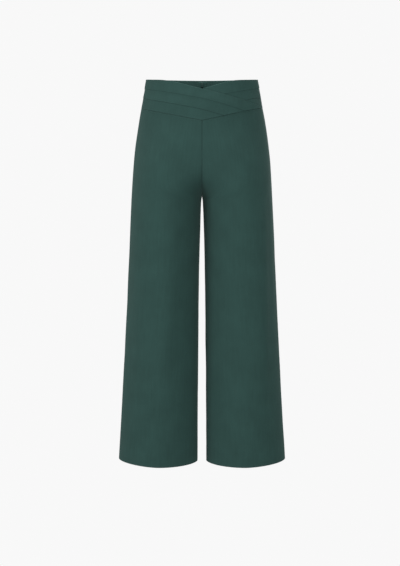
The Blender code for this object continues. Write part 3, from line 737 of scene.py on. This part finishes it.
# Sewing thread
Stitch = namedtuple("Stitch", "pitch width height slant")
OVERLOCK = Stitch(3.0, 3.2, 0.95, 24.0)
LOCKSTITCH = Stitch(2.6, 2.0, 0.5, 90.0)
BLIND_STITCH = Stitch(8.0, 2.6, 1.0, 60.0)
THREAD = 0.13
TAPE_STITCH_IN = 4.2      # from the seam
OVERLOCK_OUT = 0.4        # past the edge that it binds
OVERLOCK_RISE = -2 * SEAM_ROLL + CLOTH_THICK / 2 - 0.1      # on the seam allowances
BLIND_STITCH_OVER = 0.6   # above the turned-up hem's edge
BLIND_STITCH_RISE = -1.2
FACING_STITCH = 2.0       # above the waistband's lower seam


def back_point(leg, from_seam, level, rise):
    """Points beside the centre back, at a distance from the seam along the cloth."""
    from_seam, level = np.broadcast_arrays(np.asarray(from_seam, float), np.asarray(level, float))
    part = np.vectorize(lambda z: notch(z, "back"))(level)
    across = 1 - np.maximum(0.0, from_seam - part) / form.length("back", level)
    return form.point(leg, "back", across, level, rise)


def zip_tape(leg):
    """One tape of the zip: a narrow woven ribbon with a thicker edge where the coil is woven in."""
    offsets = TAPE_INNER_EDGE + np.concatenate([np.linspace(0, 1.6, 5), np.linspace(2.4, TAPE_WIDTH, 8)])
    across, level = np.meshgrid(offsets, np.linspace(TAPE_TOP, TAPE_FOOT, 110))
    bead = 0.25 * fall(across - TAPE_INNER_EDGE - 0.6, 0.8)
    return sheet_object(f"tape_{leg}", f"zip_tape_{leg}", back_point(leg, across, level, TAPE_RISE + bead),
                        weave=(across, level), flipped=leg == "right", thick=TAPE_THICK)


def set_inputs(tree, node, inputs):
    """Gives each input, by name or index, a value or a link from another node's output."""
    for key, value in inputs.items():
        if isinstance(value, bpy.types.NodeSocket):
            tree.links.new(value, node.inputs[key])
        else:
            node.inputs[key].default_value = value


def add_node(tree, kind, inputs=None, **settings):
    """Adds a node, and returns its outputs."""
    node = tree.nodes.new(kind)
    for key, value in settings.items():
        setattr(node, key, value)
    set_inputs(tree, node, inputs or {})
    return node.outputs


def add_sockets(tree, side, kind, *names):
    for name in names:
        tree.interface.new_socket(name=name, in_out=side, socket_type=kind)


def thread_loops_tree():
    """Loops of thread at even steps along a path: across it like a wound edge when the slant is small,
    or along it like a row of stitches when the slant is a quarter turn."""
    tree = bpy.data.node_groups.new("thread loops along a path", "GeometryNodeTree")
    add_sockets(tree, "INPUT", "NodeSocketGeometry", "Geometry")
    add_sockets(tree, "INPUT", "NodeSocketFloat", "Pitch", "Width", "Height", "Slant", "Radius")
    add_sockets(tree, "INPUT", "NodeSocketMaterial", "Material")
    add_sockets(tree, "OUTPUT", "NodeSocketGeometry", "Geometry")

    def add(kind, inputs=None, **settings):
        return add_node(tree, kind, inputs, **settings)

    given = add("NodeGroupInput")
    path = add("GeometryNodeMeshToCurve", {"Mesh": given["Geometry"]})["Curve"]
    path = add("GeometryNodeResampleCurve", {"Curve": path, "Length": given["Pitch"]}, mode="LENGTH")["Curve"]
    circle = add("GeometryNodeCurvePrimitiveCircle", {"Resolution": 8, "Radius": 0.5}, mode="RADIUS")["Curve"]
    sizes = add("ShaderNodeCombineXYZ", {"X": given["Width"], "Y": given["Height"], "Z": 1.0})["Vector"]
    loop = add("GeometryNodeTransform", {"Geometry": circle, "Scale": sizes})["Geometry"]
    angles = add("ShaderNodeCombineXYZ", {"X": math.pi / 2, "Z": given["Slant"]})["Vector"]
    loop = add("GeometryNodeTransform", {"Geometry": loop, "Rotation": angles})["Geometry"]
    section = add("GeometryNodeCurvePrimitiveCircle", {"Resolution": 4, "Radius": given["Radius"]},
                  mode="RADIUS")["Curve"]
    thread = add("GeometryNodeCurveToMesh", {"Curve": loop, "Profile Curve": section})["Mesh"]
    tangent = add("GeometryNodeInputTangent")["Tangent"]
    out = add("GeometryNodeInputNamedAttribute", {"Name": "out"}, data_type="FLOAT_VECTOR")["Attribute"]
    turn = add("FunctionNodeAlignRotationToVector", {"Vector": tangent}, axis="Y")["Rotation"]
    turn = add("FunctionNodeAlignRotationToVector", {"Rotation": turn, "Vector": out},
               axis="Z", pivot_axis="Y")["Rotation"]
    placed = add("GeometryNodeInstanceOnPoints", {"Points": path, "Instance": thread, "Rotation": turn})
    real = add("GeometryNodeRealizeInstances", {"Geometry": placed["Instances"]})["Geometry"]
    smooth = add("GeometryNodeSetShadeSmooth", {"Geometry": real})["Geometry"]
    finish = add("GeometryNodeSetMaterial", {"Geometry": smooth, "Material": given["Material"]})["Geometry"]
    add("NodeGroupOutput", {"Geometry": finish})
    return tree


def wound_thread(name, tree, paths, stitch, material, radius=THREAD):
    """Thread along paths, each a pair of points and outward directions in millimetres."""
    guide = bpy.data.meshes.new(name + " path")
    starts = np.cumsum([0] + [len(points) for points, _ in paths])
    edges = [(i, i + 1) for a, b in zip(starts[:-1], starts[1:]) for i in range(a, b - 1)]
    guide.from_pydata((np.concatenate([points for points, _ in paths]) * MM).tolist(), edges, [])
    out = guide.attributes.new("out", "FLOAT_VECTOR", "POINT")
    out.data.foreach_set("vector", np.concatenate([outs for _, outs in paths]).astype(np.float32).ravel())
    carrier = add_object(name + " path", guide)
    maker = carrier.modifiers.new("loops", "NODES")
    maker.node_group = tree
    ids = {item.name: item.identifier for item in tree.interface.items_tree if item.in_out == "INPUT"}
    for key, value in {"Pitch": stitch.pitch * MM, "Width": stitch.width * MM, "Height": stitch.height * MM,
                       "Slant": math.radians(stitch.slant), "Radius": radius * MM,
                       "Material": material}.items():
        maker[ids[key]] = value
    graph = bpy.context.evaluated_depsgraph_get()
    mesh = bpy.data.meshes.new_from_object(carrier.evaluated_get(graph))
    mesh.name = name
    bpy.data.objects.remove(carrier)
    made = add_object(name, mesh)
    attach(made, "trousers")
    return made


def surface_path(leg, panel, across, level, rise):
    """A path on a leg panel, with the direction out of the cloth at each of its points."""
    rise = rise + drape(leg, panel, across, level) + swell(leg, panel, across, level)
    points = form.point(leg, panel, across, level, rise)
    return points, points - form.point(leg, panel, across, level, rise - 1.0)


def overlock_paths(leg, panel):
    """The edges of a panel's seam allowances and of its turned-up hem."""
    inset = OVERLOCK.width / 2 - OVERLOCK_OUT
    levels = np.concatenate([np.linspace(BAND_SIDE - 14, CROTCH + 40, 50),
                             np.linspace(CROTCH + 36, CROTCH - 30, 40),
                             np.linspace(CROTCH - 36, HEM_SIDE + HEM_DEPTH - 2, 130)])
    in_from_seam = (ALLOWANCE - inset) / form.length(panel, levels)
    paths = [surface_path(leg, panel, across, levels, OVERLOCK_RISE)
             for across in (in_from_seam, 1 - in_from_seam)]
    across = np.linspace(0.004, 0.996, 90)
    edge = HEM_MIDDLE + hem_slant(across) + HEM_DEPTH - inset
    rise = TURN_UP_RISE + turn_up_over_seam(panel, across) + CLOTH_THICK / 2
    return paths + [surface_path(leg, panel, across, edge, rise)]


def blind_hem_path(leg, panel):
    """The row that catches the turned-up hem to the leg just above its edge."""
    across = np.linspace(0.03, 0.97, 80)
    edge = HEM_MIDDLE + hem_slant(across) + HEM_DEPTH
    return surface_path(leg, panel, across, edge + BLIND_STITCH_OVER, BLIND_STITCH_RISE)


def facing_paths():
    """The row that holds the waistband's facing down inside, just above its folded foot."""
    rise = -WALL - 0.1
    place = np.linspace(0.003, 0.497, 120)
    paths = []
    for lines, under in ((OVER_LINES, False), (UNDER_LINES, True)):
        level = height_on(lines["lower"], place) + FACING_STITCH
        lap = 0.0 if under else LAP_RISE * smoothstep(place / LAP_START)
        across = 1 - place if under else place
        points = form.front_point(across, level, rise + lap)
        paths.append((points, form.front_point(across, level, rise + lap - 1.0) - points))
    for leg in ("right", "left"):
        across = np.linspace(0.003, 0.997, 120)
        points, out = surface_path(leg, "back", across, BAND_SIDE + FACING_STITCH, rise + 0 * across)
        paths.append((points, -out))
    return paths


def tape_stitch_path(leg):
    levels = np.linspace(BAND_SIDE - 2, TAPE_FOOT + 6, 60)
    points = back_point(leg, TAPE_STITCH_IN, levels, TAPE_RISE - TAPE_THICK)
    return points, points - back_point(leg, TAPE_STITCH_IN, levels, TAPE_RISE - TAPE_THICK - 1)


def coil_path(side):
    """The middle of one of the zip's two coils, which mesh over the seam half a pitch apart."""
    shift = COIL_PITCH / 2 if side > 0 else 0.0
    levels = np.linspace(TAPE_TOP - 1 - shift, COIL_FOOT - shift, 90)
    points = back_point("left", 0.0, levels, COIL_RISE)
    inner = back_point("left", 0.0, levels, COIL_RISE - 1)
    points[:, 0] = inner[:, 0] = side * (COIL_WIDTH / 2 - 0.35)
    return points, points - inner


def metal_piece(name, node, body, mesh, sharp):
    """A lacquered piece with rounded edges, smooth apart from edges over an angle."""
    mesh.shade_smooth()
    mesh.set_sharp_from_angle(angle=math.radians(sharp))
    made = add_object(name, mesh)
    modify(made, "rounded edges", "BEVEL", width=EDGE_ROUNDING * MM, segments=3, limit_method="ANGLE",
           angle_limit=math.radians(50), harden_normals=True)
    mesh.materials.append(lacquer)
    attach(made, body)
    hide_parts(node)


def slider():
    """The slider on its solid's own form."""
    shape = bmesh.new()
    shape.from_mesh(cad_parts["zip_slider"].data)
    bmesh.ops.remove_doubles(shape, verts=shape.verts, dist=1e-6)
    bmesh.ops.dissolve_limit(shape, angle_limit=math.radians(1), verts=shape.verts, edges=shape.edges)
    metal_piece("slider", "zip_slider", "trousers", mesh_of("slider", shape), 45)


def arc(across, along, radius, start, steps):
    """Points round a quarter of a circle, from an angle in degrees."""
    return [(across + radius * math.cos(a), along + radius * math.sin(a))
            for a in np.radians(np.linspace(start, start + 90, steps))]


def pull_loop(inset, head, corner):
    """A closed line round the pull, inset from its outline and starting at head below its top."""
    def half(along):
        wider = max(0.0, along - PULL_NECK) / (PULL_STRAIGHT - PULL_NECK)
        return PULL_HALF_TOP + (PULL_HALF_FOOT - PULL_HALF_TOP) * wider - inset

    right = arc(half(head) - corner, head + corner, corner, -90, 5)
    if head < PULL_NECK:
        right.append((half(PULL_NECK), PULL_NECK))
    right += arc(0, PULL_STRAIGHT, PULL_HALF_FOOT - inset, 0, 13)
    return right + [(-x, along) for x, along in right[-2::-1]]


def pull_eye():
    """The closed line of the pull's eye, with rounded corners."""
    half, head, foot, radius = PULL_EYE
    corners = ((half - radius, head + radius), (half - radius, foot - radius), (radius - half, foot - radius),
               (radius - half, head + radius))
    return [point for k, place in enumerate(corners) for point in arc(*place, radius, 90 * k - 90, 3)]


def pull_tab():
    """The pull: a stamped plate with an eye, and a pressed panel on both faces."""
    loops = [pull_loop(0, 0, 0.5), pull_eye(), pull_loop(PULL_RIM, PULL_PANEL, 0.6),
             pull_loop(PULL_RIM + PULL_SLOPE, PULL_PANEL + PULL_SLOPE, 0.4)]
    starts = np.cumsum([0] + [len(loop) for loop in loops])
    flat = [Vector(point) for loop in loops for point in loop]
    edges = [(a + k, a + (k + 1) % (b - a)) for a, b in zip(starts[:-1], starts[1:]) for k in range(b - a)]
    flat, _, faces, _, _, _ = delaunay_2d_cdt(flat, edges, [], 1, 1e-6)
    eye_first, eye_last, pressed = starts[1:4]
    shape = bmesh.new()
    sides = []
    for side in (1, -1):
        depth = [PULL_THICK / 2 - (PULL_PRESS if k >= pressed else 0) for k in range(len(flat))]
        sides.append([shape.verts.new((PULL_PLACE + Vector((point.x, 0, 0)) + PULL_DOWN * point.y
                                       + PULL_OUT * side * d) * MM) for point, d in zip(flat, depth)])
        for face in faces:
            if not all(eye_first <= k < eye_last for k in face):
                shape.faces.new([sides[-1][k] for k in face])
    for a, b in edges[:eye_last]:
        shape.faces.new((sides[0][a], sides[0][b], sides[1][b], sides[1][a]))
    bmesh.ops.recalc_face_normals(shape, faces=shape.faces)
    metal_piece("pull_tab", "zip_pull", "zip_pull_tab", mesh_of("pull_tab", shape), 30)


def bottom_stop():
    """The clip pressed round the foot of the zip's coil: a bent plate with rounded ends."""
    angle = np.radians(np.linspace(-STOP_WRAP, STOP_WRAP, 15))
    levels = COIL_FOOT - STOP_LENGTH * STOP_ROWS[:, 0]
    middle = back_point("left", 0.0, levels, COIL_RISE)
    inward = back_point("left", 0.0, levels, COIL_RISE - 1) - middle
    middle[:, 0] = inward[:, 0] = 0.0
    reach = (STOP_RADIUS * STOP_ROWS[:, 1])[:, None, None]
    points = middle[:, None] + reach * (np.cos(angle)[None, :, None] * inward[:, None]
                                        + np.sin(angle)[None, :, None] * np.array([1.0, 0, 0]))
    shape = bmesh.new()
    grid = [[shape.verts.new(place * MM) for place in row] for row in points]
    for upper, lower in zip(grid[:-1], grid[1:]):
        for k in range(len(angle) - 1):
            shape.faces.new((upper[k], lower[k], lower[k + 1], upper[k + 1]))
    mesh = mesh_of("bottom_stop", shape)
    mesh.shade_smooth()
    made = add_object("bottom_stop", mesh)
    modify(made, "plate", "SOLIDIFY", thickness=STOP_PLATE * MM, offset=0)
    mesh.materials.append(lacquer)
    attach(made, "trousers")


# Materials
SUITING = (0.0190, 0.0482, 0.0427)
TAPE = (0.0190, 0.0490, 0.0430)
THREAD_COLOUR = (0.026, 0.064, 0.056)
LACQUER = (0.0120, 0.0360, 0.0310)
SHEEN_TINT = (0.55, 0.85, 0.78, 1.0)
POLISH_AND_HIGHLIGHT = 0.10             # how much smoother a folded edge is, and how much lighter it is painted as a highlight
# how much darker the painted shade makes a crease
CREASE_SHADE_STRENGTH = 0.42
CLOTH_ROUGHNESS = 0.86
CLOTH_SPECULAR = 0.12
YARN_WANDER = 6.0         # radians, where the unevenness is 1
WANDER_GRAIN = 420.0      # grains are in noise cells per metre
PEBBLE_GRAIN = 1500.0
MOTTLE_GRAIN = 17.0
SLUB_GRAIN = (260.0, 14.0, 1.0)     # across and along the yarn
RIDGE_SHARE = 0.45        # of the yarns' height
KNOT_SHARE = 0.25
PEBBLE_SHARE = 0.5
YARN_SHADE = (0.86, 0.24)           # between the yarns, and how much lighter on them
MOTTLE_FROM = (0.3, 0.7)
MOTTLE_TO = (0.88, 1.12)
YARN_DEPTH = 0.00012      # metres
TWIST_GRAIN = 2600.0
TWIST_SHADE = (0.8, 1.2)
RIPPLE_GRAIN = 900.0
RIPPLE_DEPTH = 0.0001
LACQUER_ROUGHNESS = (0.28, 0.42)


def maths(tree, operation, *values):
    return add_node(tree, "ShaderNodeMath", dict(enumerate(values)), operation=operation)["Value"]


def ranged(tree, value, low, high, start=0.0, stop=1.0):
    """A value from start to stop, brought to the range from low to high."""
    return add_node(tree, "ShaderNodeMapRange", {
        "Value": value, "From Min": start, "From Max": stop, "To Min": low, "To Max": high})["Result"]


def grid_noise(tree, vector, scale, detail, roughness):
    return add_node(tree, "ShaderNodeTexNoise", {
        "Vector": vector, "Scale": scale, "Detail": detail, "Roughness": roughness})["Fac"]


def shaded(tree, colour, shade):
    return add_node(tree, "ShaderNodeVectorMath", {0: colour, "Scale": shade}, operation="SCALE")["Vector"]


def relief(tree, height, strength, distance):
    return add_node(tree, "ShaderNodeBump", {
        "Height": height, "Strength": strength, "Distance": distance})["Normal"]


def new_material(name):
    material = bpy.data.materials.new(name)
    material.use_nodes = True
    return material, material.node_tree, material.node_tree.nodes["Principled BSDF"]


def woven_group():
    """Yarns of a fine twill with uneven twist. Height is for bump, Shade darkens between yarns, and
    Mottle is the cloth's soft unevenness of colour."""
    group = bpy.data.node_groups.new("woven yarns", "ShaderNodeTree")
    add_sockets(group, "INPUT", "NodeSocketVector", "Vector")
    add_sockets(group, "INPUT", "NodeSocketFloat", "Yarns per metre", "Unevenness")
    add_sockets(group, "OUTPUT", "NodeSocketFloat", "Height", "Shade", "Mottle")
    given = add_node(group, "NodeGroupInput")
    vector = given["Vector"]

    def add(first, second):
        return maths(group, "ADD", first, second)

    def times(first, second):
        return maths(group, "MULTIPLY", first, second)

    def sine(value):
        return maths(group, "SINE", value)

    bend = maths(group, "SUBTRACT", grid_noise(group, vector, WANDER_GRAIN, 2.0, 0.5), 0.5)
    wander = times(times(bend, given["Unevenness"]), YARN_WANDER)
    turns = times(given["Yarns per metre"], 2 * math.pi)
    place = add_node(group, "ShaderNodeSeparateXYZ", {"Vector": vector})
    warp = add(times(place["X"], turns), wander)
    weft = add(times(place["Y"], turns), wander)
    ridge = times(add(sine(add(times(warp, 0.5), times(weft, 0.5))), 1.0), 0.5)
    knots = times(add(times(sine(warp), sine(weft)), 1.0), 0.5)
    pebble = grid_noise(group, vector, PEBBLE_GRAIN, 2.0, 0.6)
    height = add(add(times(ridge, RIDGE_SHARE), times(knots, KNOT_SHARE)), times(pebble, PEBBLE_SHARE))
    streaks = add_node(group, "ShaderNodeMapping", {"Vector": vector, "Scale": SLUB_GRAIN})["Vector"]
    broad = grid_noise(group, vector, MOTTLE_GRAIN, 3.0, 0.55)
    slub = grid_noise(group, streaks, 1.0, 2.0, 0.5)
    dark, lighter = YARN_SHADE
    add_node(group, "NodeGroupOutput", {
        "Height": height,
        "Shade": add(dark, times(height, lighter)),
        "Mottle": add(times(broad, 0.6), times(slub, 0.4)),
    })
    return group


def cloth_material(name, group, colour, yarns, unevenness, bump, sheen):
    """Woven cloth on its own flat pattern: yarn relief, soft mottling, polish and a painted highlight on
    folded edges, and painted shade in creases and beside seams."""
    material, tree, shader = new_material(name)
    flat = add_node(tree, "ShaderNodeUVMap", uv_map="weave")["UV"]
    yarn = add_node(tree, "ShaderNodeGroup", {
        "Vector": flat, "Yarns per metre": yarns, "Unevenness": unevenness}, node_tree=group)
    edge = add_node(tree, "ShaderNodeAttribute", attribute_name="fold_polish_and_highlight")["Fac"]
    crease_shade = add_node(tree, "ShaderNodeAttribute", attribute_name="crease_shade")["Fac"]
    # Folded edges are painted lighter as a highlight, and creases darker as shade
    shade = maths(tree, "MULTIPLY_ADD", edge, POLISH_AND_HIGHLIGHT, yarn["Shade"])
    shade = maths(tree, "MULTIPLY_ADD", crease_shade, -CREASE_SHADE_STRENGTH, shade)
    shade = maths(tree, "MULTIPLY", shade, ranged(tree, yarn["Mottle"], *MOTTLE_TO, *MOTTLE_FROM))
    set_inputs(tree, shader, {
        "Base Color": shaded(tree, colour, shade),
        "Roughness": maths(tree, "MULTIPLY_ADD", edge, -POLISH_AND_HIGHLIGHT, CLOTH_ROUGHNESS),
        "Normal": relief(tree, yarn["Height"], bump, YARN_DEPTH),
        "Specular IOR Level": CLOTH_SPECULAR,
        "Sheen Weight": sheen,
        "Sheen Roughness": 0.5,
        "Sheen Tint": SHEEN_TINT,
    })
    return material


def thread_material(name, colour, roughness):
    """Twisted thread, a touch lighter and glossier than the cloth."""
    material, tree, shader = new_material(name)
    place = add_node(tree, "ShaderNodeTexCoord")["Object"]
    twist = ranged(tree, grid_noise(tree, place, TWIST_GRAIN, 1.0, 0.5), *TWIST_SHADE)
    set_inputs(tree, shader, {"Base Color": shaded(tree, colour, twist), "Roughness": roughness})
    return material


def lacquer_material():
    """Lacquered metal, with faint ripples in the coat and slightly duller patches."""
    material, tree, shader = new_material("green lacquered metal")
    place = add_node(tree, "ShaderNodeTexCoord")["Object"]
    ripple = grid_noise(tree, place, RIPPLE_GRAIN, 2.0, 0.5)
    set_inputs(tree, shader, {
        "Base Color": (*LACQUER, 1.0),
        "Roughness": ranged(tree, ripple, *LACQUER_ROUGHNESS),
        "Normal": relief(tree, ripple, 0.15, RIPPLE_DEPTH),
        "Specular IOR Level": 0.22,
        "Coat Weight": 0.10,
        "Coat Roughness": 0.22,
    })
    return material


woven = woven_group()
suiting = cloth_material("bottle-green crepe suiting", woven, SUITING,
                         yarns=1500.0, unevenness=0.8, bump=0.55, sheen=0.08)
tape_cloth = cloth_material("zip tape", woven, TAPE, yarns=1100.0, unevenness=0.2, bump=0.7, sheen=0.05)
thread = thread_material("sewing thread", THREAD_COLOUR, 0.55)
nylon = thread_material("nylon coil", TAPE, 0.42)
lacquer = lacquer_material()

tapes = [zip_tape("right"), zip_tape("left")]
for piece in legs + bands:
    piece.data.materials.append(suiting)
for piece in tapes:
    piece.data.materials.append(tape_cloth)
slider()
pull_tab()
bottom_stop()

loops = thread_loops_tree()
overlock = [wound_thread(f"overlock_{panel}_leg_{leg}", loops, overlock_paths(leg, panel), OVERLOCK, thread)
            for leg, panel in PANELS]
wound_thread("facing_stitches", loops, facing_paths(), LOCKSTITCH, thread)
wound_thread("blind_hem_stitches", loops, [blind_hem_path(*piece) for piece in PANELS], BLIND_STITCH, thread)
wound_thread("tape_stitches", loops, [tape_stitch_path(leg) for leg in ("right", "left")], LOCKSTITCH, thread)
wound_thread("zip_coil", loops, [coil_path(-1), coil_path(1)],
             Stitch(COIL_PITCH, COIL_WIDTH, COIL_HEIGHT, COIL_SLANT), nylon, COIL_THREAD)


# Stage, light and camera. The backdrop is the photo's even pale grey, with no shadow on it.
FLOOR_LEVEL = -1.16
FLOOR_SIZE = 14.0
FLOOR_BOUNCE = 0.35
FLOOR_SEEN = 0.940
ROOM_GREY = 0.94
ROOM_LIGHT = 0.77
Light = namedtuple("Light", "name place target size power")
LIGHTS = table(
    Light,
    ("key", (-2.35, -1.5, 0.02), (0, 0, -0.36), (1.1, 1.1), 33),
    ("fill", (0.34, -2.35, -0.38), (0, 0, -0.25), (1.0, 1.0), 31),
    ("waist light", (0.0, -0.05, 0.36), (0, 0.09, -0.02), (0.16, 0.10), 2.3),
    ("top light", (-0.2, -0.9, 1.1), (0, 0, -0.05), (0.4, 0.4), 2.5),
    ("back light", (0.5, 2.5, 0.3), (0, 0, -0.4), (1.6, 1.6), 34),
)
CAMERA_PLACE = (0.0, -3.10, -0.12)
CAMERA_TILT = 90 - 7.43
CAMERA_TURN = 0.096
CAMERA_LENS = 76.07


def lit_by_path(tree, seen, cast):
    """How bright the backdrop is: as seen, and as the light that it casts on the cloth."""
    return ranged(tree, add_node(tree, "ShaderNodeLightPath")["Is Camera Ray"], cast, seen)


def stage_floor():
    mesh = bpy.data.meshes.new("floor")
    corners = ((-1, -1), (1, -1), (1, 1), (-1, 1))
    mesh.from_pydata([(x * FLOOR_SIZE, y * FLOOR_SIZE, FLOOR_LEVEL) for x, y in corners], [], [(0, 1, 2, 3)])
    material, tree, shader = new_material("pale floor")
    set_inputs(tree, shader, {
        "Base Color": (0.0, 0.0, 0.0, 1.0),
        "Roughness": 1.0,
        "Specular IOR Level": 0.0,
        "Emission Color": (1.0, 1.0, 1.0, 1.0),
        "Emission Strength": lit_by_path(tree, FLOOR_SEEN, FLOOR_BOUNCE),
    })
    mesh.materials.append(material)
    add_object("floor", mesh)


def studio():
    scene = bpy.context.scene
    scene.world = bpy.data.worlds.new("studio")
    scene.world.use_nodes = True
    tree = scene.world.node_tree
    set_inputs(tree, tree.nodes["Background"], {
        "Color": (ROOM_GREY, ROOM_GREY, ROOM_GREY, 1.0), "Strength": lit_by_path(tree, 1.0, ROOM_LIGHT)})
    scene.view_settings.view_transform = "Standard"
    for light in LIGHTS:
        lamp = bpy.data.lights.new(light.name, "AREA")
        lamp.shape = "RECTANGLE"
        lamp.size, lamp.size_y = light.size
        lamp.energy = light.power
        made = add_object(light.name, lamp)
        made.location = light.place
        made.rotation_euler = (Vector(light.target) - Vector(light.place)).to_track_quat("-Z", "Y").to_euler()
    camera = add_object("camera", bpy.data.cameras.new("camera"))
    camera.data.lens = CAMERA_LENS
    camera.location = CAMERA_PLACE
    camera.rotation_euler = (math.radians(CAMERA_TILT), 0.0, math.radians(CAMERA_TURN))
    scene.camera = camera


stage_floor()
studio()
